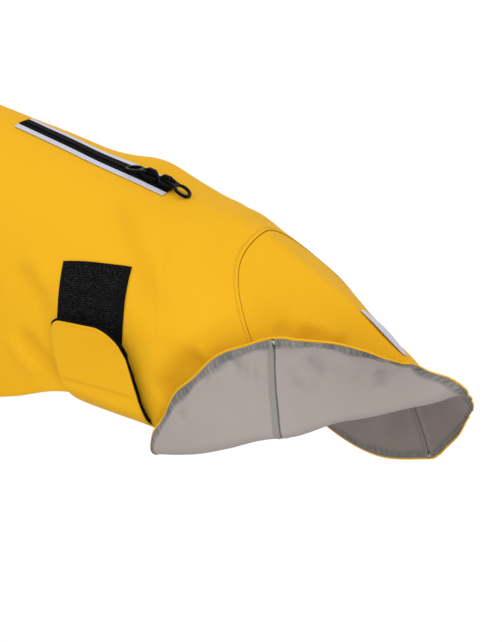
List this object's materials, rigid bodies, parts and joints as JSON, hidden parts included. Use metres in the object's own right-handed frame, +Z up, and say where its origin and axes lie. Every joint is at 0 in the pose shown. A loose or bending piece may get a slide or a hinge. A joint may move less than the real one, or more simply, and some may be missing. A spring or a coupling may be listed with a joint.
{
  "type": "dog raincoat",
  "caption": "Yellow coated dog raincoat filled out as worn, open neck and rear, belly strap with peeled tab, leash zip on the spine, near rear hem turned up to show its grey lining.",
  "frame": {"origin": "on the inner face of the back, on the spine, under the leash zip, where the wearer's back carries the coat", "axes": "+X runs to the tail, +Z is up, the near side with the loop patch is -Y"},
  "size_m": [0.4346, 0.1868, 0.2445],
  "materials": {
    "yellow_shell": "satin coated fabric",
    "grey_lining": "soft plain lining",
    "hook_and_loop": "matte hook and loop tape",
    "zip_black": "matte woven tape",
    "zip_hardware": "satin black enamel",
    "reflective": "pale retroreflective tape"
  },
  "bodies": {
    "coat": {"back_shell": "yellow_shell", "rump_panel": "yellow_shell", "chest_panel": "yellow_shell", "belly_strap": "yellow_shell", "lining_back": "grey_lining", "lining_rump": "grey_lining", "strap_hook_patch": "hook_and_loop", "side_loop_patch": "hook_and_loop", "zip_tape_left": "zip_black", "zip_tape_right": "zip_black", "reflective_strip_left": "reflective", "reflective_strip_right": "reflective", "rump_reflective_strip": "reflective", "zip_slider_front": "zip_hardware", "zip_slider_rear": "zip_hardware"},
    "pull_front": {"zip_pull_front": "zip_hardware"},
    "pull_rear": {"zip_pull_rear": "zip_hardware"}
  },
  "joints": [
    {"name": "pull_front_hinge", "type": "hinge", "parent": "coat", "child": "pull_front", "pos_m": [0.02936, 0, 0.00051], "axis": [0, 1, 0], "range_deg": [0, 100]},
    {"name": "pull_rear_hinge", "type": "hinge", "parent": "coat", "child": "pull_rear", "pos_m": [0.0458, 0, -0.00346], "axis": [0, -1, 0], "range_deg": [0, 100]}
  ]
}
